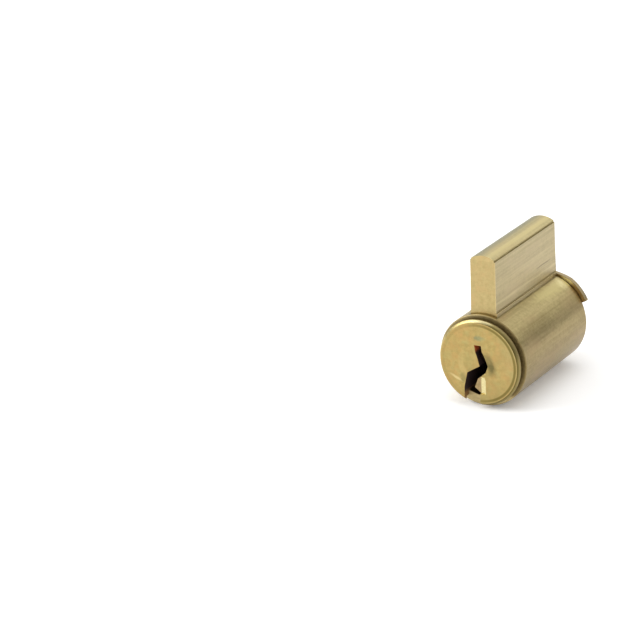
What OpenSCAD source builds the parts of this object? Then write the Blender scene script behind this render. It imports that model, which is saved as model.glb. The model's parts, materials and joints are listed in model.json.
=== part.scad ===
// Pin-tumbler lock cylinder with a sector cam, lying along Y with its key side towards -Y.
// The origin is on the plug's axis, in the plane of the shell's front shoulder. +Z points up
// the pin housing. The pins stand at the shear line, as the right key would hold them.

/* [Shell] */
// Outside diameter of the round shell
shell_d = 15; // [12:0.1:18]
// Length of the shell
shell_length = 21.5; // [18:0.1:30]
// Chamfer around the shell's ends
shell_chamfer = 0.12; // [0.05:0.01:0.4]

/* [Pin housing] */
// Width of the upright pin housing
housing_width = 4.3; // [4:0.05:5]
// Height of the housing's shoulder above the plug's axis
housing_top = 16.15; // [14:0.05:18]
// Distance the housing starts behind the shell's shoulder
housing_setback = 0.65; // [0:0.05:1]
// Width of the land along each side of the housing's foot
foot_land = 0.15; // [0.1:0.01:0.5]
// Height of the top of the foot land above the plug's axis
foot_top = 7.75; // [7.6:0.05:9]

/* [Spring cover] */
// Rise of the cover above the housing's shoulder
cover_rise = 0.85; // [0.5:0.05:1.5]
// Ledge left on the housing along each side of the cover
cover_ledge = 0.2; // [0.05:0.01:0.3]
// Height of the cover's upright edge
cover_edge = 0.3; // [0.1:0.05:0.5]

/* [Plug] */
// Diameter of the plug's body
plug_d = 11.8; // [10:0.1:13]
// Diameter of the plug's head
head_d = 14; // [12:0.1:15]
// Distance the head stands out of the shell
head_proud = 1.5; // [1:0.05:2.5]
// Diameter of the flat face of the head
face_d = 12.6; // [11:0.1:13.8]
// Depth of the rounded rim around the face
rim_depth = 0.45; // [0.3:0.05:0.6]
// Slope of the rim where it leaves the face, in degrees
rim_slope = 15; // [0:1:20]
// Thickness of the head's rim, in front of the groove behind it
head_thickness = 0.7; // [0.5:0.05:1.2]
// Diameter of the neck in that groove, which bears on the shell's shoulder
neck_d = 13.3; // [13:0.1:14]
// Diameter of the shallow dish around the keyway
dish_d = 6; // [4:0.1:9]
// Diameter of the dish's flat floor
dish_floor_d = 2.4; // [1:0.1:4]
// Depth of the dish
dish_depth = 0.42; // [0.1:0.01:0.6]

/* [Pin stacks] */
// Number of pin stacks
stacks = 5; // [5:1:5]
// Distance of the first stack behind the shell's shoulder
first_stack = 3.2; // [3:0.05:4]
// Distance from one stack to the next
stack_pitch = 3.81; // [3.5:0.01:4]
// Diameter of the pins
pin_d = 2.92; // [2.7:0.01:3]
// Height above the axis of each cut of the key, from the front
cut_heights = [1.7, 0.9, 0.4, 1.3, 2];
// Length of a driver pin
driver_length = 5.2; // [4:0.1:6]
// Wire diameter of a spring
wire_d = 0.27; // [0.2:0.01:0.35]
// Number of turns of a spring
turns = 8; // [5:1:9]

/* [Cam] */
// Outside diameter of the cam's sector
cam_d = 16.3; // [15:0.1:20]
// Height of the cam's flattened top above the axis
cam_top = 7.7; // [7:0.05:10]
// Radius of the flattened top
cam_top_r = 11.5; // [9:0.5:60]
// Half of the angle that the sector spans
cam_half_angle = 65; // [30:1:80]
// Diameter of the rest of the cam
cam_hub_d = 13.8; // [13:0.1:14.6]
// Thickness of the cam
cam_thickness = 0.85; // [0.6:0.05:1.5]
// Gap between the shell and the cam
cam_gap = 0.12; // [0.1:0.01:0.4]

/* [Tail] */
// Diameter of the two-flat boss that turns the cam
boss_d = 6.4; // [5:0.1:8]
// Distance across the boss's flats
boss_flats = 4.8; // [4:0.1:6]
// Diameter of the round spigot behind the boss
spigot_d = 4.6; // [3:0.1:6]
// Length of spigot behind the retaining clip
spigot_free = 3; // [1:0.1:4]
// Width of the slot across the spigot's end
tail_slot = 1; // [0.8:0.1:2]
// Depth of that slot
tail_slot_depth = 1; // [0.5:0.1:2]
// Thickness of the washer
washer_thickness = 0.4; // [0.3:0.05:0.8]
// Thickness of the retaining clip
clip_thickness = 0.5; // [0.4:0.05:0.8]
// Depth of the clip's groove
clip_bite = 0.55; // [0.3:0.05:0.8]

/* [Fits] */
// Radial running clearance of the plug in the shell
plug_fit = 0.05; // [0.02:0.01:0.1]
// Radial clearance of the pins in their chambers
pin_fit = 0.03; // [0.02:0.01:0.1]
// Gap between two parts that rest against each other
rest_gap = 0.02; // [0.01:0.01:0.05]

/* [Hidden] */
$fn = 96;
over = 1;
shell_r = shell_d / 2;
plug_r = plug_d / 2;
bore_r = plug_r + plug_fit;
head_r = head_d / 2;
face_r = face_d / 2;
head_gap = 0.05;
rim_width = head_r - face_r;
rim_drop = rim_depth * cos(rim_slope) - rim_width * sin(rim_slope);
rim_r = (pow(rim_width, 2) + pow(rim_depth, 2)) / (2 * rim_drop);
cover_half = housing_width / 2 - cover_ledge;
cover_sag = cover_rise - cover_edge;
cover_r = (pow(cover_half, 2) + pow(cover_sag, 2)) / (2 * cover_sag);

// Keyway, seen from the front, as points from its upper left corner clockwise
keyway_top = 2.95;
keyway_floor = -head_r - over;
slot_left = -2.67;
slot_right = 0.14;
ward_height = -5.1;
keyway = [
    [-0.72, keyway_top], [0.45, keyway_top], [0.46, 1.85], [1.39, -0.48], [1.03, -1.56],
    [-0.41, -2.75], [-0.99, -4.25], [slot_right, ward_height], [slot_right, keyway_floor],
    [slot_left, keyway_floor], [-2.6, -4.32], [-2.05, -1.8], [-0.08, -0.66], [-0.7, 1.6]
];
keyway_wall = 1.35;
relief_depth = 0.45;
relief_run = 1;
relief_left = -1.4;
relief_top = -2.3;

// Pin stacks
pin_r = pin_d / 2;
chamber_r = pin_r + pin_fit;
chamber_floor = -1.5;
crown_height = 0.19;
crown_r = (pow(pin_r, 2) + pow(crown_height, 2)) / (2 * crown_height);
key_pin_top = plug_r - rest_gap;
tip_r = 0.5;
tip_height = 0.75;
driver_foot = bore_r + rest_gap;
driver_top = driver_foot + driver_length;
pin_chamfer = 0.2;
waist_r = pin_r - 0.4;
waist_from = 1.1;
waist_to = 3.9;
spring_foot = driver_top + rest_gap;
spring_length = housing_top - rest_gap - spring_foot;
wire_r = wire_d / 2;
coil_r = pin_r - 0.22 - wire_r;
wire_sides = 6;
coil_steps = 14;

// Tail, as places along the plug from front to back
plug_end = shell_length + cam_gap - rest_gap;
cam_from = shell_length + cam_gap;
cam_to = cam_from + cam_thickness;
boss_to = cam_to + rest_gap;
washer_to = boss_to + rest_gap + washer_thickness;
clip_from = washer_to + rest_gap;
clip_to = clip_from + clip_thickness;
spigot_to = clip_to + rest_gap + spigot_free;
spigot_r = spigot_d / 2;
spigot_chamfer = 0.3;
groove_r = spigot_r - clip_bite;
core_r = 0.8 * boss_flats / 2;
clip_r = spigot_r + 1.2;
clip_mouth = 1.35 * groove_r;
washer_r = spigot_r + 1.5;

function stack_y(i) = first_stack + i * stack_pitch;

// A section drawn as x across and y up, run along the part from one place to another
module run(from, to) {
    translate([0, to, 0])
        rotate([90, 0, 0])
            linear_extrude(to - from)
                children();
}

// A profile drawn as radius across and distance along the part up, turned about the plug's axis
module turned() {
    rotate([-90, 0, 0])
        rotate_extrude()
            children();
}

// A plain round along the plug's axis
module round_bar(r, from, to) {
    run(from, to)
        circle(r);
}

module chamber(i, from, to) {
    translate([0, stack_y(i), from])
        cylinder(r = chamber_r, h = to - from);
}

module housing_section() {
    translate([-housing_width / 2, 0])
        square([housing_width, housing_top]);
    translate([-housing_width / 2 - foot_land, 0])
        square([housing_width + 2 * foot_land, foot_top]);
}

module shell_body() {
    turned()
        polygon([
            [0, 0],
            [shell_r - shell_chamfer, 0],
            [shell_r, shell_chamfer],
            [shell_r, shell_length - shell_chamfer],
            [shell_r - shell_chamfer, shell_length],
            [0, shell_length]
        ]);
    run(housing_setback, shell_length)
        housing_section();
}

module shell() {
    color("goldenrod")
        difference() {
            shell_body();
            round_bar(bore_r, -over, shell_length + over);
            for (i = [0 : stacks - 1])
                chamber(i, plug_r / 2, housing_top + over);
        }
}

// The strip that closes the tops of the chambers and holds the springs down
module spring_cover() {
    color("khaki")
        run(housing_setback, shell_length)
            intersection() {
                translate([-cover_half, housing_top])
                    square([2 * cover_half, cover_rise]);
                translate([0, housing_top + cover_rise - cover_r])
                    circle(cover_r);
            }
}

// Half profile of the head, from its flat face and rounded rim back to the neck
module head_profile() {
    intersection() {
        square([head_r, head_thickness]);
        union() {
            square([face_r, head_thickness]);
            translate([face_r - rim_r * sin(rim_slope), rim_r * cos(rim_slope)])
                circle(rim_r);
            translate([0, rim_depth])
                square([head_r, head_thickness]);
        }
    }
    square([neck_d / 2, head_proud - head_gap]);
}

module head() {
    translate([0, -head_proud, 0])
        turned()
            head_profile();
}

module dish() {
    slope = (dish_d - dish_floor_d) / 2 / dish_depth;
    translate([0, -head_proud, 0])
        turned()
            polygon([
                [0, -over],
                [dish_d / 2 + slope * over, -over],
                [dish_floor_d / 2, dish_depth],
                [0, dish_depth]
            ]);
}

// The boss's two flats stand upright, so the cam turns with the plug
module boss_section(clearance) {
    intersection() {
        circle(boss_d / 2 + clearance);
        square([boss_flats + 2 * clearance, boss_d + over], center = true);
    }
}

module spigot() {
    turned()
        polygon([
            [0, boss_to - over],
            [core_r, boss_to - over],
            [core_r, boss_to],
            [spigot_r, boss_to],
            [spigot_r, clip_from - rest_gap],
            [groove_r, clip_from - rest_gap],
            [groove_r, clip_to + rest_gap],
            [spigot_r, clip_to + rest_gap],
            [spigot_r, spigot_to - spigot_chamfer],
            [spigot_r - spigot_chamfer, spigot_to],
            [0, spigot_to]
        ]);
}

// The shallow cut over the ward, with its right wall sloping out to the face
module keyway_relief() {
    floor_y = relief_depth - head_proud;
    slope = relief_run / relief_depth;
    translate([0, 0, ward_height])
        linear_extrude(relief_top - ward_height)
            polygon([
                [relief_left, floor_y],
                [slot_right, floor_y],
                [slot_right + relief_run + slope * over, -head_proud - over],
                [relief_left, -head_proud - over]
            ]);
}

module plug() {
    color("gold")
        difference() {
            union() {
                head();
                round_bar(plug_r, -over, plug_end);
                run(plug_end - over, boss_to)
                    boss_section(0);
                spigot();
            }
            dish();
            run(-head_proud - over, plug_end - keyway_wall)
                polygon(keyway);
            keyway_relief();
            for (i = [0 : stacks - 1])
                chamber(i, chamber_floor, plug_r + over);
            translate([-tail_slot / 2, spigot_to - tail_slot_depth, -boss_d])
                cube([tail_slot, tail_slot_depth + over, 2 * boss_d]);
        }
}

// A disc behind the shell, with a wider sector about its top
module cam_section() {
    reach = cam_d;
    circle(cam_hub_d / 2);
    intersection() {
        circle(cam_d / 2);
        translate([0, cam_top - cam_top_r])
            circle(cam_top_r);
        polygon([
            [0, 0],
            [-reach * sin(cam_half_angle), reach * cos(cam_half_angle)],
            [-reach, reach],
            [reach, reach],
            [reach * sin(cam_half_angle), reach * cos(cam_half_angle)]
        ]);
    }
}

module cam() {
    color("peru")
        run(cam_from, cam_to)
            difference() {
                cam_section();
                boss_section(pin_fit);
            }
}

module washer() {
    color("silver")
        run(boss_to + rest_gap, washer_to)
            difference() {
                circle(washer_r);
                circle(spigot_r + pin_fit);
            }
}

// An open ring that springs into the spigot's groove, with its mouth downwards
module retaining_clip() {
    color("dimgray")
        run(clip_from, clip_to)
            difference() {
                circle(clip_r);
                circle(groove_r + pin_fit);
                translate([-clip_mouth / 2, -clip_r - over])
                    square([clip_mouth, clip_r + over]);
            }
}

// A pin with a domed top and a pointed foot that rides on the key
module key_pin(i) {
    foot = cut_heights[i];
    color("darkgoldenrod")
        translate([0, stack_y(i), foot])
            rotate_extrude()
                intersection() {
                    polygon([
                        [0, 0],
                        [tip_r, 0],
                        [pin_r, tip_height],
                        [pin_r, key_pin_top - foot],
                        [0, key_pin_top - foot]
                    ]);
                    translate([0, key_pin_top - foot - crown_r])
                        circle(crown_r);
                }
}

// A spool-shaped pin that crosses the shear line when no key is in
module driver_pin(i) {
    color("lightgray")
        translate([0, stack_y(i), driver_foot])
            rotate_extrude()
                polygon([
                    [0, 0],
                    [pin_r - pin_chamfer, 0],
                    [pin_r, pin_chamfer],
                    [pin_r, waist_from],
                    [waist_r, waist_from + pin_chamfer],
                    [waist_r, waist_to - pin_chamfer],
                    [pin_r, waist_to],
                    [pin_r, driver_length - pin_chamfer],
                    [pin_r - pin_chamfer, driver_length],
                    [0, driver_length]
                ]);
}

// Height of the wire's centre after t turns: the first and the last turn are closed
spring_rise = (spring_length - 3 * wire_d) / (turns - 2);
function coil_z(t) = wire_r + (
    t < 1 ? t * wire_d
    : t < turns - 1 ? wire_d + (t - 1) * spring_rise
    : wire_d + (turns - 2) * spring_rise + (t - turns + 1) * wire_d
);
function wire_point(t, side) = let (out = coil_r + wire_r * cos(side)) [
    out * cos(360 * t),
    out * sin(360 * t),
    coil_z(t) + wire_r * sin(side)
];

module spring(i) {
    rings = turns * coil_steps;
    points = [
        for (ring = [0 : rings])
            for (s = [0 : wire_sides - 1])
                wire_point(ring / coil_steps, 360 * s / wire_sides)
    ];
    sides = [
        for (ring = [0 : rings - 1])
            for (s = [0 : wire_sides - 1])
                let (a = ring * wire_sides, b = a + wire_sides, n = (s + 1) % wire_sides)
                    each [[a + s, a + n, b + n], [a + s, b + n, b + s]]
    ];
    first_end = [for (s = [1 : wire_sides]) wire_sides - s];
    last_end = [for (s = [0 : wire_sides - 1]) rings * wire_sides + s];
    color("slategray")
        translate([0, stack_y(i), spring_foot])
            polyhedron(points, concat(sides, [first_end, last_end]));
}

shell();
spring_cover();
plug();
cam();
washer();
retaining_clip();
key_pin(0);  // key_pin_1
key_pin(1);  // key_pin_2
key_pin(2);  // key_pin_3
key_pin(3);  // key_pin_4
key_pin(4);  // key_pin_5
driver_pin(0);  // driver_pin_1
driver_pin(1);  // driver_pin_2
driver_pin(2);  // driver_pin_3
driver_pin(3);  // driver_pin_4
driver_pin(4);  // driver_pin_5
spring(0);  // spring_1
spring(1);  // spring_2
spring(2);  // spring_3
spring(3);  // spring_4
spring(4);  // spring_5
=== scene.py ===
"""Looks of a brass pin-tumbler lock cylinder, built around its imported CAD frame."""

import json
import math

import bmesh
import bpy
from mathutils import Matrix, Vector


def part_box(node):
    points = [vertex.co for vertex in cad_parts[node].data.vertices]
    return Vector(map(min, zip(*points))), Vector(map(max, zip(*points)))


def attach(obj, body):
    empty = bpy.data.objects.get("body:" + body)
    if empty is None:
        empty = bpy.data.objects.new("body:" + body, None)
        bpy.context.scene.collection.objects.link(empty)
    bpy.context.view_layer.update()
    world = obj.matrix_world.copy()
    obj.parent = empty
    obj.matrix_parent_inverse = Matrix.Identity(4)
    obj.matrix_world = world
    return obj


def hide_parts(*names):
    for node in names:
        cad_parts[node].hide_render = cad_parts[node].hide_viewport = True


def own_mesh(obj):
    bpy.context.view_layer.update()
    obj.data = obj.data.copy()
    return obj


MM = 0.001

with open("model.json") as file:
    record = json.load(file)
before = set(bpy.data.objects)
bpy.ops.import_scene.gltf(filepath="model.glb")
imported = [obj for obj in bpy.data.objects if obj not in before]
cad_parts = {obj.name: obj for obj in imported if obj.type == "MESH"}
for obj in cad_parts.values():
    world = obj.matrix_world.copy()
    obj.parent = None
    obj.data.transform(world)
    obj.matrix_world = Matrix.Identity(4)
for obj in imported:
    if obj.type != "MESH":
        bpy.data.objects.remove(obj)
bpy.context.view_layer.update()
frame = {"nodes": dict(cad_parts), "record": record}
nodes = frame["nodes"]
node_body = {n: body for body, names in frame["record"]["behaviour"]["bodies"].items() for n in names}

# Places on the part, in metres. The boxes are read from the frame, and heights are over the plug's axis.
PLUG_LOW, PLUG_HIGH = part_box("plug")
SHELL_LOW, SHELL_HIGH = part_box("shell")
COVER_LOW, COVER_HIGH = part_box("spring_cover")
CAM_FRONT_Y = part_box("cam")[0].y
FACE_Y = PLUG_LOW.y
SHELL_R = SHELL_HIGH.x
HEAD_R = PLUG_HIGH.x
HEAD_THICKNESS = 0.7 * MM
RIM_WIDTH = 0.7 * MM
FLAT_FACE_R = HEAD_R - RIM_WIDTH
DISH_R = 3.0 * MM
# The shallow cut over the ward, on the plug's face
RELIEF_TOP = -2.3 * MM
RELIEF_FOOT = -4.0 * MM
RELIEF_DEPTH = 0.45 * MM
NECK_R = HEAD_R * 0.93
HOUSING_WALL = 0.2 * MM
FLANK_X = COVER_HIGH.x + HOUSING_WALL
FLANK_LOW = SHELL_R * 0.9
FOOT_TOP = 7.75 * MM
FOOT_ZONE_TOP = SHELL_R * 1.2
TAIL_Y = SHELL_HIGH.y + 1.5 * MM
LOCK_MIDDLE = (PLUG_LOW + COVER_HIGH) / 2


# ------------------------------------------------------------------ camera

AZIMUTH = math.radians(31.19)
ELEVATION = math.radians(20.63)
ROLL = math.radians(-2.75)
DISTANCE = 464.55 * MM
# How far the plug's face stands right of and above the middle of the picture
LOCK_RIGHT = 24.565 * MM
LOCK_UP = -6.733 * MM
LENS = 168.76


def make_camera():
    """Looks down at the plug's face from the right, with the lock right of the middle."""
    back = Vector((
        math.sin(AZIMUTH) * math.cos(ELEVATION),
        -math.cos(AZIMUTH) * math.cos(ELEVATION),
        math.sin(ELEVATION),
    ))
    level = Vector((math.cos(AZIMUTH), math.sin(AZIMUTH), 0))
    upright = back.cross(level)
    right = math.cos(ROLL) * level + math.sin(ROLL) * upright
    up = -math.sin(ROLL) * level + math.cos(ROLL) * upright
    data = bpy.data.cameras.new("camera")
    data.lens = LENS
    data.clip_start = 0.01
    data.clip_end = 50
    camera = bpy.data.objects.new("camera", data)
    place = Vector((0, FACE_Y, 0)) + back * DISTANCE - right * LOCK_RIGHT - up * LOCK_UP
    turn = Matrix((right, up, back)).transposed().to_4x4()
    camera.matrix_world = Matrix.Translation(place) @ turn
    bpy.context.scene.collection.objects.link(camera)
    bpy.context.scene.camera = camera


# ------------------------------------------------------------------ light and floor

# Brightness of the studio at heights from the horizon, 0, to overhead, 1
SKY = (
    (0.00, 0.30),
    (0.12, 0.42),
    (0.26, 0.80),
    (0.42, 1.05),
    (0.75, 1.05),
)
BRIGHT_SIDE = (-0.6, 0.8, 0.0)
DIM_LEVEL = 0.72
BRIGHT_LEVEL = 1.12
BACKDROP = (1, 1, 1, 1)

FLOOR_HALF = 2.5
FLOOR_COLOUR = (0.95, 0.95, 0.95, 1)
FLOOR_GLOW = 0.16


def area_light(name, place, side, power):
    """A square lamp that faces the lock."""
    data = bpy.data.lights.new(name, "AREA")
    data.shape = "SQUARE"
    data.size = side
    data.energy = power
    lamp = bpy.data.objects.new(name, data)
    lamp.location = place
    aim = LOCK_MIDDLE - Vector(place)
    lamp.rotation_euler = aim.to_track_quat("-Z", "Y").to_euler()
    bpy.context.scene.collection.objects.link(lamp)


def set_ramp(ramp, stops):
    """Greys at places from 0 to 1."""
    elements = ramp.color_ramp.elements
    elements.remove(elements[-1])
    elements[0].position = stops[0][0]
    elements[0].color = (stops[0][1], stops[0][1], stops[0][1], 1)
    for at, grey in stops[1:]:
        elements.new(at).color = (grey, grey, grey, 1)


def make_world():
    """A studio that is dim along the horizon and bright overhead, more so behind the lock.
    The camera sees a plain white backdrop in its place."""
    world = bpy.data.worlds.new("studio")
    bpy.context.scene.world = world
    world.use_nodes = True
    tree = world.node_tree
    background = tree.nodes["Background"]
    coords = tree.nodes.new("ShaderNodeTexCoord")
    split = tree.nodes.new("ShaderNodeSeparateXYZ")
    ramp = tree.nodes.new("ShaderNodeValToRGB")
    set_ramp(ramp, SKY)
    side = tree.nodes.new("ShaderNodeVectorMath")
    side.operation = "DOT_PRODUCT"
    side.inputs[1].default_value = BRIGHT_SIDE
    level = tree.nodes.new("ShaderNodeMapRange")
    level.inputs["From Min"].default_value = -1
    level.inputs["To Min"].default_value = DIM_LEVEL
    level.inputs["To Max"].default_value = BRIGHT_LEVEL
    backdrop = tree.nodes.new("ShaderNodeBackground")
    backdrop.inputs["Color"].default_value = BACKDROP
    path = tree.nodes.new("ShaderNodeLightPath")
    choose = tree.nodes.new("ShaderNodeMixShader")
    tree.links.new(coords.outputs["Generated"], split.inputs[0])
    tree.links.new(coords.outputs["Generated"], side.inputs[0])
    tree.links.new(side.outputs["Value"], level.inputs[0])
    tree.links.new(split.outputs["Z"], ramp.inputs[0])
    tree.links.new(ramp.outputs[0], background.inputs["Color"])
    tree.links.new(level.outputs[0], background.inputs["Strength"])
    tree.links.new(path.outputs["Is Camera Ray"], choose.inputs[0])
    tree.links.new(background.outputs[0], choose.inputs[1])
    tree.links.new(backdrop.outputs[0], choose.inputs[2])
    tree.links.new(choose.outputs[0], tree.nodes["World Output"].inputs["Surface"])


def make_floor():
    """A plain pale floor at the height of the shell's lowest line."""
    low = SHELL_LOW.z
    corners = [(x * FLOOR_HALF, y * FLOOR_HALF, low) for x, y in ((-1, -1), (1, -1), (1, 1), (-1, 1))]
    data = bpy.data.meshes.new("floor")
    data.from_pydata(corners, [], [(0, 1, 2, 3)])
    floor = bpy.data.objects.new("floor", data)
    bpy.context.scene.collection.objects.link(floor)
    material = bpy.data.materials.new("floor")
    material.use_nodes = True
    shader = material.node_tree.nodes["Principled BSDF"]
    shader.inputs["Base Color"].default_value = FLOOR_COLOUR
    shader.inputs["Roughness"].default_value = 0.9
    shader.inputs["Specular IOR Level"].default_value = 0.1
    shader.inputs["Emission Color"].default_value = (1, 1, 1, 1)
    shader.inputs["Emission Strength"].default_value = FLOOR_GLOW
    data.materials.append(material)


# ------------------------------------------------------------------ materials

class Nodes:
    """Short ways to add and link the nodes of one material. Lengths in textures are in millimetres."""

    def __init__(self, name):
        self.material = bpy.data.materials.new(name)
        self.material.use_nodes = True
        self.tree = self.material.node_tree
        self.shader = self.tree.nodes["Principled BSDF"]
        coords = self.add("ShaderNodeTexCoord")
        self.place = self.vector("MULTIPLY", coords.outputs["Object"], (1 / MM,) * 3)

    def add(self, kind, **settings):
        node = self.tree.nodes.new(kind)
        for key, value in settings.items():
            setattr(node, key, value)
        return node

    def put(self, value, socket):
        """A number, a colour or another node's output into a socket."""
        if isinstance(value, bpy.types.NodeSocket):
            self.tree.links.new(value, socket)
        elif isinstance(value, tuple) and len(value) == 3 and len(socket.default_value) == 4:
            socket.default_value = (*value, 1)
        else:
            socket.default_value = value

    def math(self, operation, a, b=0.0):
        node = self.add("ShaderNodeMath", operation=operation)
        self.put(a, node.inputs[0])
        self.put(b, node.inputs[1])
        return node.outputs[0]

    def product(self, first, *others):
        """Several shares multiplied together."""
        for other in others:
            first = self.math("MULTIPLY", first, other)
        return first

    def blend_of(self, a, a_share, b, b_share):
        """Two values added up by their shares."""
        return self.math("ADD", self.product(a, a_share), self.product(b, b_share))

    def vector(self, operation, a, b=(0, 0, 0)):
        node = self.add("ShaderNodeVectorMath", operation=operation)
        self.put(a, node.inputs[0])
        self.put(b, node.inputs[1])
        return node.outputs["Value"] if operation == "LENGTH" else node.outputs["Vector"]

    def axis(self, letter):
        """A place's X, Y or Z."""
        node = self.add("ShaderNodeSeparateXYZ")
        self.put(self.place, node.inputs[0])
        return node.outputs[letter]

    def radius(self):
        """Distance from the plug's axis."""
        return self.vector("LENGTH", self.vector("MULTIPLY", self.place, (1, 0, 1)))

    def noise(self, per_mm, detail=4.0, roughness=0.6, vector=None):
        """Noise from 0 to 1. per_mm is one number, or one for each axis."""
        scales = per_mm if isinstance(per_mm, tuple) else (per_mm,) * 3
        node = self.add("ShaderNodeTexNoise")
        self.put(self.vector("MULTIPLY", vector or self.place, scales), node.inputs["Vector"])
        node.inputs["Scale"].default_value = 1
        node.inputs["Detail"].default_value = detail
        node.inputs["Roughness"].default_value = roughness
        return node.outputs["Fac"]

    def range(self, value, low, high, to_low=0.0, to_high=1.0, smooth=False):
        """to_low where value is low, to_high where it is high, and in between from one to the other."""
        node = self.add("ShaderNodeMapRange", interpolation_type="SMOOTHSTEP" if smooth else "LINEAR")
        for socket, x in zip(node.inputs, (value, low, high, to_low, to_high)):
            self.put(x, socket)
        return node.outputs[0]

    def mix(self, share, a, b, blend="MIX"):
        """Colour a where share is 0 and colour b where it is 1."""
        node = self.add("ShaderNodeMix", data_type="RGBA", blend_type=blend)
        factor, first, second = node.inputs[0], node.inputs[6], node.inputs[7]
        self.put(share, factor)
        self.put(a, first)
        self.put(b, second)
        return node.outputs[2]

    def paint(self, colour, tint, *shares, blend="MIX"):
        """A tint over a colour, as strong as the product of the shares."""
        return self.mix(self.product(*shares), colour, tint, blend)

    def near(self, centre, reach, ragged=0.4, per_mm=3.0, tilt=0.0):
        """1 at a place and 0 beyond an ellipsoid of the given half sizes about it, with a ragged border.
        tilt turns the ellipsoid about Y, in degrees."""
        turn = self.add("ShaderNodeVectorRotate", rotation_type="Y_AXIS")
        self.put(self.vector("SUBTRACT", self.place, centre), turn.inputs["Vector"])
        turn.inputs["Angle"].default_value = math.radians(tilt)
        away = self.vector("MULTIPLY", turn.outputs[0], tuple(1 / r for r in reach))
        ragging = self.range(self.noise(per_mm), 0, 1, -ragged, ragged)
        far = self.math("ADD", self.vector("LENGTH", away), ragging)
        return self.range(far, 0.3, 1.0, to_low=1, to_high=0, smooth=True)

    def band(self, value, middle, half_width, share=1.0):
        """share in the middle of a narrow band of a value, and 0 outside it."""
        off = self.math("ABSOLUTE", self.math("SUBTRACT", value, middle))
        return self.range(off, half_width * 0.35, half_width, to_low=share, to_high=0, smooth=True)

    def crevice(self, distance):
        """1 deep in a corner or a gap, 0 in the open."""
        node = self.add("ShaderNodeAmbientOcclusion", samples=6)
        node.inputs["Distance"].default_value = distance * MM
        return self.range(node.outputs["AO"], 0.25, 0.8, to_low=1, to_high=0)

    def bump(self, height, depth, below=None):
        """depth is in millimetres, and below is a finer bump under this one."""
        node = self.add("ShaderNodeBump")
        node.inputs["Strength"].default_value = 1
        node.inputs["Distance"].default_value = depth * MM
        self.put(height, node.inputs["Height"])
        if below:
            self.put(below, node.inputs["Normal"])
        return node.outputs[0]

    def finish(self, colour, roughness, normal, metallic=1.0):
        self.put(colour, self.shader.inputs["Base Color"])
        self.put(roughness, self.shader.inputs["Roughness"])
        self.shader.inputs["Metallic"].default_value = metallic
        self.put(normal, self.shader.inputs["Normal"])
        return self.material


# Painted shade: the colour laid into corners and gaps where ambient occlusion finds them
CORNER_SHADE_COLOUR = (0.085, 0.055, 0.018)


def drawn_brass(name, base, shade, warm, streak=0.5, marks=None):
    """Brass with lines along the part, faint cross grain, warm patches and painted shade in its corners and
    gaps. marks(n, colour) adds to it.
    """
    n = Nodes(name)
    lines = n.noise((2.4, 0.05, 2.4), detail=6, roughness=0.62)
    fine_lines = n.noise((16.0, 0.35, 16.0), detail=3)
    patches = n.noise((0.34, 0.12, 0.34))
    mottle = n.noise(1.7, detail=6, roughness=0.7)
    grain = n.noise(22.0, detail=2)
    tone = n.blend_of(lines, streak, mottle, 1 - streak)
    colour = n.mix(n.range(tone, 0.41, 0.59), shade, base)
    colour = n.paint(colour, warm, n.range(patches, 0.46, 0.68, to_high=0.6))
    if marks:
        colour = marks(n, colour)
    # Painted shade in corners and gaps
    colour = n.paint(colour, CORNER_SHADE_COLOUR, n.crevice(0.7), 0.75)
    rough = n.range(n.math("ADD", tone, n.product(grain, 0.4)), 0.4, 1.0, to_low=0.30, to_high=0.45)
    height = n.blend_of(lines, 1.4, fine_lines, 0.35)
    return n.finish(colour, rough, n.bump(height, 0.02, n.bump(grain, 0.002)))


def turned_brass(name, base, shade, warm, corner_shade=0.6, marks=None):
    """Brass with fine rings about the axis, mottling, small warm specks and painted shade in its corners.
    marks(n, colour) adds to it.
    """
    n = Nodes(name)
    ring_at = n.add("ShaderNodeCombineXYZ")
    n.put(n.radius(), ring_at.inputs[0])
    rings = n.noise((9.0, 1.0, 1.0), vector=ring_at.outputs[0])
    mottle = n.noise(1.5, detail=6, roughness=0.75)
    patches = n.noise(0.5)
    specks = n.noise(3.2, detail=3)
    grain = n.noise(20.0, detail=2)
    tone = n.blend_of(rings, 0.25, mottle, 0.75)
    colour = n.mix(n.range(tone, 0.38, 0.62), shade, base)
    colour = n.paint(colour, warm, n.range(patches, 0.44, 0.66, to_high=0.55))
    colour = n.paint(colour, warm, n.range(specks, 0.54, 0.68, to_high=0.4))
    if marks:
        colour = marks(n, colour)
    # Painted shade in corners and gaps
    colour = n.paint(colour, CORNER_SHADE_COLOUR, n.crevice(0.6), corner_shade)
    rough = n.range(n.math("ADD", tone, n.product(grain, 0.4)), 0.4, 1.0, to_low=0.27, to_high=0.43)
    height = n.blend_of(rings, 0.4, mottle, 1.6)
    return n.finish(colour, rough, n.bump(height, 0.018, n.bump(grain, 0.002)))


def polished_brass(name, base, shade, roughness=0.2, marks=None):
    """Brass polished bright on edges and on the rim, still a little uneven, with painted shade in its
    corners.
    """
    n = Nodes(name)
    mottle = n.noise(2.6, detail=5, roughness=0.7)
    grain = n.noise(14.0, detail=2)
    colour = n.mix(n.range(mottle, 0.38, 0.62), shade, base)
    if marks:
        colour = marks(n, colour)
    # Painted shade in corners and gaps
    colour = n.paint(colour, CORNER_SHADE_COLOUR, n.crevice(0.4), 0.5)
    rough = n.range(mottle, 0.3, 0.7, to_low=roughness - 0.05, to_high=roughness + 0.1)
    return n.finish(colour, rough, n.bump(n.math("ADD", mottle, n.product(grain, 0.2)), 0.012))


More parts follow.
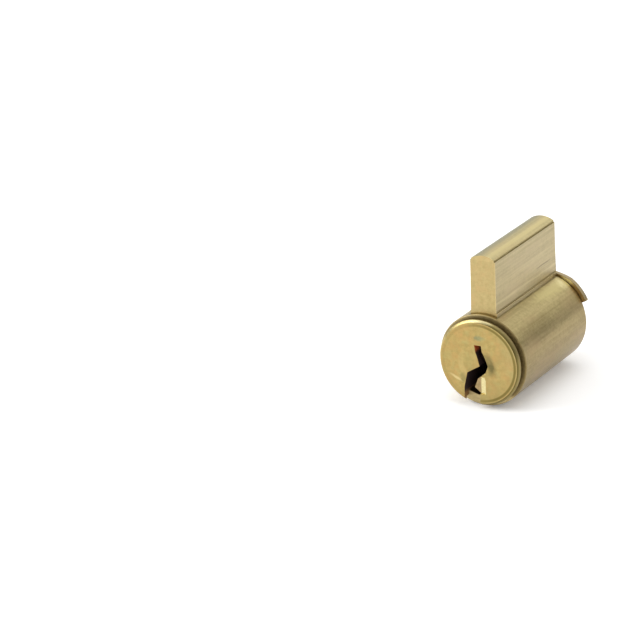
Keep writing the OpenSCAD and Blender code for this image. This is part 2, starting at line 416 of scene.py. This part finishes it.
def dark_brass(name, base, shade, roughness=0.5, metallic=0.7, marks=None):
    """Brass painted dark all over. On faces in gaps, corners and recesses its darkness is painted shade."""
    n = Nodes(name)
    mottle = n.noise(2.0, detail=6, roughness=0.7)
    colour = n.mix(n.range(mottle, 0.36, 0.64), shade, base)
    if marks:
        colour = marks(n, colour)
    rough = n.range(mottle, 0.3, 0.7, to_low=roughness - 0.08, to_high=roughness + 0.12)
    return n.finish(colour, rough, n.bump(mottle, 0.02), metallic)


def steel(name, base, shade, roughness=0.3):
    """Drawn or rolled steel with a fine uneven grain."""
    n = Nodes(name)
    grain = n.noise(12.0)
    patches = n.noise(0.9, detail=3)
    colour = n.mix(n.range(patches, 0.35, 0.65), shade, base)
    rough = n.range(grain, 0.3, 0.7, to_low=roughness - 0.07, to_high=roughness + 0.1)
    return n.finish(colour, rough, n.bump(grain, 0.006))


# ------------------------------------------------------------------ marks
# Each function adds marks to a colour, some of them painted highlights and painted shade. Their places are in
# millimetres, and their tints are linear colours.

# Painted shade in the crease at the housing's foot
CREASE_SHADE = (0.20, 0.165, 0.065)
# Tilts of the dish's painted shade and of the bright stroke at the lower left of the face, in degrees
DISH_TILT = 24.0
STROKE_TILT = -27.0

# Lines along the housing's sides: height and half width in millimetres, strength and tint
FLANK_LINES = (
    (15.25, 0.32, 0.55, (0.30, 0.25, 0.12)),
    (13.4, 0.25, 0.30, (0.36, 0.29, 0.16)),
    (12.3, 0.55, 0.40, (0.52, 0.43, 0.24)),
    (9.75, 0.22, 0.55, (0.34, 0.27, 0.14)),
    (9.25, 0.30, 0.60, (0.56, 0.47, 0.26)),
    (8.65, 0.25, 0.50, (0.36, 0.29, 0.15)),
)


def shell_marks(n, colour):
    """A painted highlight beside the housing and at the rear, painted shade as a darker band on the right and
    darker lower right, warmer patches below, and painted shade as a dark line at the housing's foot."""
    x, z = n.axis("X"), n.axis("Z")
    # Painted highlight along the shell's top beside the housing
    painted_sheen = n.near((3.6, 17.0, 6.6), reach=(1.7, 9.0, 1.7), ragged=0.5, per_mm=1.2)
    colour = n.paint(colour, (0.60, 0.51, 0.22), painted_sheen, 0.7)
    # Painted highlight at the shell's rear top edge
    rear = n.near((4.0, SHELL_HIGH.y / MM, 6.5), reach=(2.0, 3.2, 1.5), per_mm=1.5)
    colour = n.paint(colour, (0.82, 0.72, 0.38), rear, 0.8)
    # Painted shade: the lower right of the shell is darker
    lower_right = n.product(n.range(z, 5.5, 0.5, to_high=0.85), n.range(x, 0, 2))
    colour = n.paint(colour, (0.66, 0.62, 0.62), lower_right, blend="MULTIPLY")
    # Painted shade: a darker band along the shell's right side
    painted_dark_band = n.near((6.2, 6.5, 3.9), reach=(2.5, 7.5, 2.8), ragged=0.5, per_mm=0.8)
    colour = n.paint(colour, (0.74, 0.72, 0.68), painted_dark_band, 0.6, blend="MULTIPLY")
    warm = n.range(n.noise((0.4, 0.12, 0.4), detail=5), 0.5, 0.7, to_high=0.45)
    colour = n.paint(colour, (0.46, 0.335, 0.19), warm, n.range(z, 1.0, -1.0))
    # Painted shade: a dark line in the crease at the housing's foot
    foot = n.band(n.math("ABSOLUTE", x), FLANK_X / MM + 0.22, half_width=0.22, share=0.8)
    broken = n.range(n.noise((1.0, 0.5, 1.0)), 0.3, 0.6, to_low=0.5)
    return n.paint(colour, CREASE_SHADE, foot, n.range(z, 6.0, 6.6), broken)


def flank_marks(n, colour):
    """Light and dark lines along the housing's sides, a shadowed foot and one short scratch."""
    z = n.axis("Z")
    wander = n.range(n.noise((0.0, 0.25, 0.0), detail=2), 0, 1, to_low=-0.12, to_high=0.12)
    height = n.math("ADD", z, wander)
    broken = n.range(n.noise((1.0, 0.22, 3.0), detail=3), 0.35, 0.62, to_low=0.15)
    for middle, half_width, share, tint in FLANK_LINES:
        colour = n.paint(colour, tint, n.band(height, middle, half_width, share), broken)
    # Painted shade along the housing's foot
    colour = n.paint(colour, CREASE_SHADE, n.band(z, FOOT_TOP / MM + 0.1, half_width=0.3, share=0.8))
    scratch = n.band(height, 10.5, half_width=0.13, share=0.85)
    length = n.band(n.axis("Y"), 17.2, half_width=3.2)
    right_side = n.range(n.axis("X"), -1, 1)
    return n.paint(colour, (0.20, 0.16, 0.08), scratch, length, right_side)


def dome_marks(n, colour):
    """Painted shade makes the far side of the dome darker and greener than its crown, and a painted highlight
    runs along the crown's right.
    """
    # Painted shade on the dome's far side, then a painted highlight along its crown
    colour = n.paint(colour, (0.36, 0.345, 0.205), n.range(n.axis("X"), 0.3, -1.5, to_high=0.9))
    return n.paint(colour, (0.66, 0.555, 0.26), n.band(n.axis("X"), 1.0, half_width=0.55, share=0.6))


def face_marks(n, colour):
    """A green smudge over the keyway, painted shade inside the dish, in its right part, at its lower left and
    low on the face, a painted highlight on the dish's left border, a bright stroke at the lower left that is
    partly wear and partly painted highlight, stains, and a dark line of painted shade inside the rim."""
    x, z, radius = n.axis("X"), n.axis("Z"), n.radius()
    face = FACE_Y / MM
    smudge = n.near((0.05, face, 4.15), reach=(1.25, 2.0, 0.55), ragged=0.5, per_mm=4.0)
    colour = n.paint(colour, (0.25, 0.24, 0.12), smudge)
    colour = n.paint(colour, (0.43, 0.385, 0.155), n.range(n.noise(0.8), 0.5, 0.66, to_high=0.45))
    # Painted shade inside the dish on its left, and a painted highlight on its border
    left = n.range(x, -0.5, -2.0)
    hollow = n.range(radius, DISH_R / MM, 1.8, to_high=0.5)
    colour = n.paint(colour, (0.40, 0.335, 0.13), hollow, left)
    border = n.band(radius, DISH_R / MM + 0.15, half_width=0.7, share=0.4)
    colour = n.paint(colour, (0.54, 0.42, 0.175), border, left, n.range(z, 1.8, -0.5, to_low=0.1))
    # Painted shade in the right of the dish
    dish_shade = n.near((1.85, face, -0.05), reach=(1.25, 3.0, 2.5), ragged=0.25, per_mm=1.3, tilt=DISH_TILT)
    colour = n.paint(colour, (0.165, 0.135, 0.05), dish_shade)
    # Painted shade low on the face
    lower = n.range(z, -2.0, -6.5, to_high=0.45)
    colour = n.paint(colour, (0.37, 0.30, 0.125), lower, n.range(x, -2.0, 1.5))
    right = n.range(x, 2.5, 6.2, to_high=0.45)
    colour = n.paint(colour, (0.40, 0.33, 0.15), right, n.range(z, -4.0, 2.0))
    # Painted shade at the dish's lower left edge
    dark = n.near((-2.75, face, -2.75), reach=(0.7, 3.0, 1.3), ragged=0.35, per_mm=2.0)
    colour = n.paint(colour, (0.25, 0.21, 0.085), dark, 0.65)
    # A bright stroke at the lower left, partly wear and partly painted highlight
    wear_and_highlight = n.near((-4.0, face, -2.9), reach=(1.5, 3.0, 0.3), ragged=0.45, per_mm=2.2, tilt=STROKE_TILT)
    colour = n.paint(colour, (0.72, 0.59, 0.29), wear_and_highlight, 0.6)
    stain = n.range(n.noise(0.42, detail=3), 0.5, 0.7)
    colour = n.paint(colour, (0.36, 0.27, 0.10), stain, n.range(x, -4, 5, to_low=0.35, to_high=0.75))
    # Painted shade: a dark line in the crease where the rim meets the face
    line = n.band(radius, FLAT_FACE_R / MM - 0.05, half_width=0.3, share=0.9)
    return n.paint(colour, (0.18, 0.14, 0.04), line, n.range(x, -2.5, 2.5, to_low=0.2))


def rim_marks(n, colour):
    """The rim has a painted highlight above and painted shade to the right and below, with a dark line of
    painted shade beside the face.
    """
    x = n.axis("X")
    # Painted shade on the rim to the right and below
    right = n.range(x, -0.5, 3.5, to_high=0.85)
    below = n.range(n.axis("Z"), -1.5, -5.0, to_high=0.85)
    colour = n.paint(colour, (0.25, 0.20, 0.083), n.math("MAXIMUM", right, below))
    # Painted highlight on the rim above
    bright = n.near((0.6, FACE_Y / MM, 6.8), reach=(3.0, 2.0, 0.7), ragged=0.2, per_mm=1.5)
    colour = n.paint(colour, (0.86, 0.76, 0.44), bright, 0.7)
    # Painted shade: a dark line in the crease beside the face
    line = n.band(n.radius(), FLAT_FACE_R / MM + 0.15, half_width=0.55, share=0.95)
    return n.paint(colour, (0.14, 0.11, 0.03), line, n.range(x, -2.5, 2.5, to_low=0.15))


def keyway_marks(n, colour):
    """Reddish walls at the top of the keyway, brown ones where it leaves the head."""
    z = n.axis("Z")
    colour = n.paint(colour, (0.55, 0.14, 0.04), n.range(z, 1.5, 2.0), n.range(n.radius(), 5.5, 5.0))
    return n.paint(colour, (0.30, 0.16, 0.06), n.range(z, -4.9, -5.5))


def shoulder_marks(n, colour):
    """The ring around the head carries less painted shade towards its edge and below, where the keyway shows
    it, and more in its corners.
    """
    # Less painted shade towards the ring's outer edge and to the left
    outer = n.range(n.radius(), 6.8, 7.4, to_high=0.8)
    colour = n.paint(colour, (0.45, 0.355, 0.17), outer, n.range(n.axis("X"), 3.0, -1.0, to_low=0.25))
    # Less painted shade below, where the keyway opens the ring
    streaks = n.range(n.noise((0.5, 1.0, 5.0), detail=3), 0.35, 0.6, to_low=0.6)
    colour = n.paint(colour, (0.56, 0.45, 0.22), n.range(n.axis("Z"), -5.0, -5.5), streaks)
    # Painted shade in the ring's corners
    return n.paint(colour, CORNER_SHADE_COLOUR, n.crevice(0.5), 0.4)


def cam_marks(n, colour):
    """A painted highlight on the cam beside the housing, where the sector passes it."""
    # Painted highlight on the cam's front face
    painted_sheen = n.near((4.4, CAM_FRONT_Y / MM, 6.9), reach=(1.9, 1.5, 1.5), ragged=0.3, per_mm=1.5)
    return n.paint(colour, (0.96, 0.86, 0.52), painted_sheen)


# ------------------------------------------------------------------ pieces

WELD = 0.0005 * MM
COPLANAR = math.radians(0.1)
ROUNDED = math.radians(28)
SHARP = math.radians(32)
# How far a face or an edge may lie from where it is looked for
HAIR = 0.01 * MM
SLACK = 0.05 * MM
NEARBY = 0.1 * MM
# A face this far inside a surface belongs to something else
DEEP = 0.3 * MM
# Edges of the plug that are at most this far behind its face are rounded
FACE_EDGE_DEPTH = 0.35 * MM
# Shorter edges of the housing's foot stay sharp
LONG_EDGE = 1.0 * MM
# How much of a face's normal lies on an axis: the face looks exactly, nearly or mostly along it, or past it
EXACTLY = 0.99
ALONG = 0.9
MOSTLY = 0.5
PAST = 0.05

WIRE_D = 0.27 * MM
TURNS = 8
STEPS_PER_TURN = 32


def turned_more(edge, angle):
    """Whether the two faces at an edge meet at more than an angle."""
    return len(edge.link_faces) == 2 and edge.calc_face_angle(0) > angle


def rebuild(node, looks, edge_width, rounded=None, region=None, edge_look=None):
    """A finer copy of a CAD node: joined faces, rounded sharp edges and a material for each region.
    looks are its materials by name. region gives the name of each face's material, rounded says which of the
    sharp edges are rounded, and edge_look names the material of the rounded edges."""
    names = list(looks)
    bm = bmesh.new()
    bm.from_mesh(nodes[node].data)
    bmesh.ops.remove_doubles(bm, verts=bm.verts, dist=WELD)
    bmesh.ops.dissolve_limit(
        bm, angle_limit=COPLANAR, verts=bm.verts, edges=bm.edges, use_dissolve_boundaries=False)
    bm.normal_update()
    for face in bm.faces:
        face.material_index = names.index(region(face)) if region else 0
    edges = [e for e in bm.edges if turned_more(e, ROUNDED) and (rounded is None or rounded(e))]
    bmesh.ops.bevel(
        bm, geom=edges, offset=edge_width, offset_type="OFFSET", segments=2, profile=0.5, affect="EDGES",
        clamp_overlap=True, material=names.index(edge_look) if edge_look else -1)
    bm.normal_update()
    for face in bm.faces:
        face.smooth = True
    for edge in bm.edges:
        edge.smooth = not turned_more(edge, SHARP)
    mesh = bpy.data.meshes.new(node + "_finish")
    bm.to_mesh(mesh)
    bm.free()
    for material in looks.values():
        mesh.materials.append(material)
    piece = bpy.data.objects.new(node + "_finish", mesh)
    bpy.context.scene.collection.objects.link(piece)
    piece.modifiers.new("even_normals", "WEIGHTED_NORMAL").keep_sharp = True
    stand_in(piece, node)


def stand_in(piece, node):
    """A piece moves with a CAD node's body and replaces the node."""
    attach(piece, node_body[node])
    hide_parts(node)


def make_shell():
    """The round body with its pin housing."""
    looks = {
        "round": drawn_brass(
            "shell_round", base=(0.51, 0.415, 0.195), shade=(0.37, 0.295, 0.125), warm=(0.49, 0.36, 0.18),
            marks=shell_marks),
        "flank": drawn_brass(
            "shell_flank", base=(0.46, 0.38, 0.21), shade=(0.35, 0.29, 0.155), warm=(0.46, 0.365, 0.215),
            streak=0.6, marks=flank_marks),
        "front": turned_brass(
            "shell_front", base=(0.51, 0.40, 0.185), shade=(0.40, 0.31, 0.13), warm=(0.515, 0.355, 0.16)),
        "inside": drawn_brass(
            "shell_inside", base=(0.42, 0.32, 0.13), shade=(0.30, 0.22, 0.08), warm=(0.40, 0.28, 0.12)),
        "edge": polished_brass(
            "shell_edge", base=(0.62, 0.50, 0.26), shade=(0.52, 0.41, 0.20), roughness=0.3),
        # The ring around the head and the ledge under the cover are painted dark: painted shade
        "shoulder": dark_brass(
            "shell_shoulder", base=(0.27, 0.195, 0.07), shade=(0.17, 0.12, 0.038), marks=shoulder_marks),
        "ledge": dark_brass("shell_ledge", base=(0.34, 0.275, 0.12), shade=(0.22, 0.175, 0.07)),
    }

    def region(face):
        centre, normal = face.calc_center_median(), face.normal
        radius = math.hypot(centre.x, centre.z)
        if abs(normal.y) > MOSTLY and centre.z < SHELL_R - HAIR and radius < SHELL_R + NEARBY:
            return "shoulder"
        if abs(normal.y) > ALONG:
            return "front"
        if normal.z > ALONG and centre.z > SHELL_HIGH.z - NEARBY:
            return "ledge"
        if radius < SHELL_R - DEEP or (abs(centre.x) < FLANK_X - DEEP and abs(normal.z) < MOSTLY):
            return "inside"
        return "flank" if abs(normal.x) > ALONG and centre.z > FLANK_LOW else "round"

    def rounded(edge):
        low, high = sorted(v.co.z for v in edge.verts)
        upright = high > low + LONG_EDGE
        lengthwise = abs(edge.verts[0].co.y - edge.verts[1].co.y) > LONG_EDGE
        return low > FOOT_TOP - HAIR and (upright or lengthwise and high < FOOT_ZONE_TOP)

    rebuild("shell", looks, 0.07 * MM, rounded, region, "edge")


def make_cover():
    """The domed strip on top of the pin housing."""
    looks = {
        "top": drawn_brass(
            "cover_top", base=(0.58, 0.49, 0.245), shade=(0.46, 0.385, 0.18), warm=(0.56, 0.44, 0.21),
            marks=dome_marks),
        "front": turned_brass(
            "cover_front", base=(0.535, 0.42, 0.195), shade=(0.425, 0.33, 0.14), warm=(0.54, 0.375, 0.17)),
        # The cover's sides are painted dark: painted shade under the dome's edge
        "side": dark_brass("cover_side", base=(0.42, 0.34, 0.15), shade=(0.30, 0.24, 0.10)),
    }

    def region(face):
        if abs(face.normal.y) > ALONG:
            return "front"
        return "side" if abs(face.normal.x) > ALONG else "top"

    def rounded(edge):
        return min(v.co.z for v in edge.verts) > COVER_LOW.z + NEARBY

    rebuild("spring_cover", looks, 0.05 * MM, rounded, region, "top")


def make_plug():
    """The turning piece: its face with the rim, dish and keyway, the neck behind the head, and the tail."""
    looks = {
        "face": turned_brass(
            "plug_face", base=(0.475, 0.355, 0.13), shade=(0.35, 0.265, 0.095), warm=(0.51, 0.30, 0.11),
            marks=face_marks),
        "rim": polished_brass(
            "plug_rim", base=(0.58, 0.47, 0.20), shade=(0.48, 0.38, 0.15), roughness=0.32, marks=rim_marks),
        # The plug's inner and hidden faces are painted almost black: painted shade in the keyway and inside
        # the shell
        "inside": dark_brass(
            "plug_inside", base=(0.06, 0.035, 0.03), shade=(0.035, 0.02, 0.025), metallic=0.3,
            marks=keyway_marks),
        "edge": polished_brass("plug_edge", base=(0.66, 0.53, 0.25), shade=(0.54, 0.43, 0.18)),
        # The neck is painted dark: painted shade in the groove behind the head
        "neck": dark_brass("plug_neck", base=(0.20, 0.14, 0.045), shade=(0.12, 0.08, 0.025)),
        # The cut over the ward is painted brighter than the face: fresh-cut brass and a painted highlight
        "cut": polished_brass(
            "plug_cut", base=(0.76, 0.67, 0.35), shade=(0.64, 0.555, 0.275), roughness=0.3),
        "ward": turned_brass(
            "plug_ward", base=(0.42, 0.31, 0.15), shade=(0.25, 0.18, 0.08), warm=(0.50, 0.34, 0.18)),
        # The head's side is painted darker than the face and the rim
        "head_side": dark_brass(
            "plug_head_side", base=(0.36, 0.28, 0.11), shade=(0.25, 0.19, 0.07), roughness=0.4),
    }

    def region_of_head(centre, normal, radius):
        """None where the face is a wall of the keyway or of the neck."""
        depth = centre.y - FACE_Y
        low = centre.z < RELIEF_TOP
        if radius > HEAD_R - SLACK and abs(normal.y) < MOSTLY:
            return "head_side"
        if radius > FLAT_FACE_R - SLACK and normal.y < MOSTLY:
            return "rim"
        if low and normal.x < -0.2 and normal.y < -MOSTLY and abs(normal.z) < PAST:
            return "cut"
        if low and normal.y < -EXACTLY and depth > DEEP:
            return "ward"
        foot_of_relief = normal.z > ALONG and depth < RELIEF_DEPTH + HAIR and centre.z < RELIEF_FOOT
        return "face" if normal.y < -MOSTLY or foot_of_relief else None

    def region(face):
        centre, normal = face.calc_center_median(), face.normal
        radius = math.hypot(centre.x, centre.z)
        if centre.y < FACE_Y + HEAD_THICKNESS + HAIR:
            found = region_of_head(centre, normal, radius)
            if found:
                return found
        if centre.y > SHELL_HIGH.y:
            return "face"
        return "neck" if radius > NECK_R and FACE_Y < centre.y < 0 else "inside"

    def rounded(edge):
        ys = [v.co.y for v in edge.verts]
        radii = [math.hypot(v.co.x, v.co.z) for v in edge.verts]
        at_face = max(ys) < FACE_Y + FACE_EDGE_DEPTH and max(radii) < HEAD_R
        return at_face or min(ys) > TAIL_Y

    rebuild("plug", looks, 0.03 * MM, rounded, region, "edge")


def make_cam():
    """The sector plate behind the shell."""
    looks = {
        "plate": turned_brass(
            "cam_plate", base=(0.57, 0.42, 0.19), shade=(0.47, 0.345, 0.145), warm=(0.57, 0.38, 0.175),
            corner_shade=0.05, marks=cam_marks),
        "edge": polished_brass(
            "cam_edge", base=(0.43, 0.335, 0.18), shade=(0.34, 0.265, 0.14), roughness=0.32),
    }

    def region(face):
        return "plate" if abs(face.normal.y) > ALONG else "edge"

    rebuild("cam", looks, 0.06 * MM, region=region, edge_look="edge")


def make_tail():
    """The washer and the clip that hold the cam."""
    washer = steel("washer_steel", base=(0.62, 0.62, 0.61), shade=(0.50, 0.50, 0.50))
    clip = steel("clip_steel", base=(0.22, 0.23, 0.26), shade=(0.15, 0.15, 0.17))
    rebuild("washer", {"plate": washer}, 0.04 * MM)
    rebuild("retaining_clip", {"ring": clip}, 0.05 * MM)


def make_pins():
    """Brass key pins and steel driver pins."""
    brass = turned_brass(
        "key_pin_brass", base=(0.64, 0.48, 0.22), shade=(0.52, 0.38, 0.16), warm=(0.62, 0.42, 0.20))
    nickel = steel("driver_pin_steel", base=(0.66, 0.65, 0.62), shade=(0.54, 0.53, 0.50))
    for name in sorted(nodes):
        if name.startswith("key_pin"):
            rebuild(name, {"pin": brass}, 0.03 * MM)
        elif name.startswith("driver_pin"):
            rebuild(name, {"pin": nickel}, 0.03 * MM)


def coil(name, low, high, centre):
    """A wire wound from low to high about a centre, with its first and last turns closed, as a curve."""
    data = bpy.data.curves.new(name, "CURVE")
    data.dimensions = "3D"
    data.bevel_depth = WIRE_D / 2
    data.bevel_resolution = 3
    data.use_fill_caps = True
    coil_r = high.x - WIRE_D / 2
    rise = (high.z - low.z - 3 * WIRE_D) / (TURNS - 2)
    line = data.splines.new("POLY")
    line.points.add(TURNS * STEPS_PER_TURN)
    for step, point in enumerate(line.points):
        turn = step / STEPS_PER_TURN
        open_turns = min(max(turn - 1, 0), TURNS - 2)
        closed_turns = turn - open_turns
        z = low.z + WIRE_D / 2 + open_turns * rise + closed_turns * WIRE_D
        angle = 2 * math.pi * turn
        point.co = (centre.x + coil_r * math.cos(angle), centre.y + coil_r * math.sin(angle), z, 1)
    return data


def make_springs():
    """Each spring is a smooth wire in the place of its CAD helix. It stands on its driver pin."""
    steel_wire = steel("spring_steel", base=(0.50, 0.51, 0.53), shade=(0.38, 0.39, 0.41), roughness=0.25)
    for name in sorted(nodes):
        if not name.startswith("spring_") or name == "spring_cover":
            continue
        low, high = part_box(name)
        pin_low, pin_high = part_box(name.replace("spring", "driver_pin"))
        centre = (pin_low + pin_high) / 2
        data = coil(name + "_wire", low, high, centre)
        data.materials.append(steel_wire)
        curve = bpy.data.objects.new(name + "_curve", data)
        piece = bpy.data.objects.new(name + "_wire", bpy.data.meshes.new_from_object(curve))
        bpy.data.objects.remove(curve)
        bpy.context.scene.collection.objects.link(piece)
        for face in piece.data.polygons:
            face.use_smooth = True
        stand_in(piece, name)
        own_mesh(piece)


make_camera()
make_world()
make_floor()
area_light("key_light", place=(-0.62, -0.40, 0.42), side=0.45, power=3.2)
area_light("top_light", place=(0.15, -0.05, 0.9), side=0.7, power=1.6)
bpy.context.scene.view_settings.view_transform = "Standard"

make_shell()
make_cover()
make_plug()
make_cam()
make_tail()
make_pins()
make_springs()
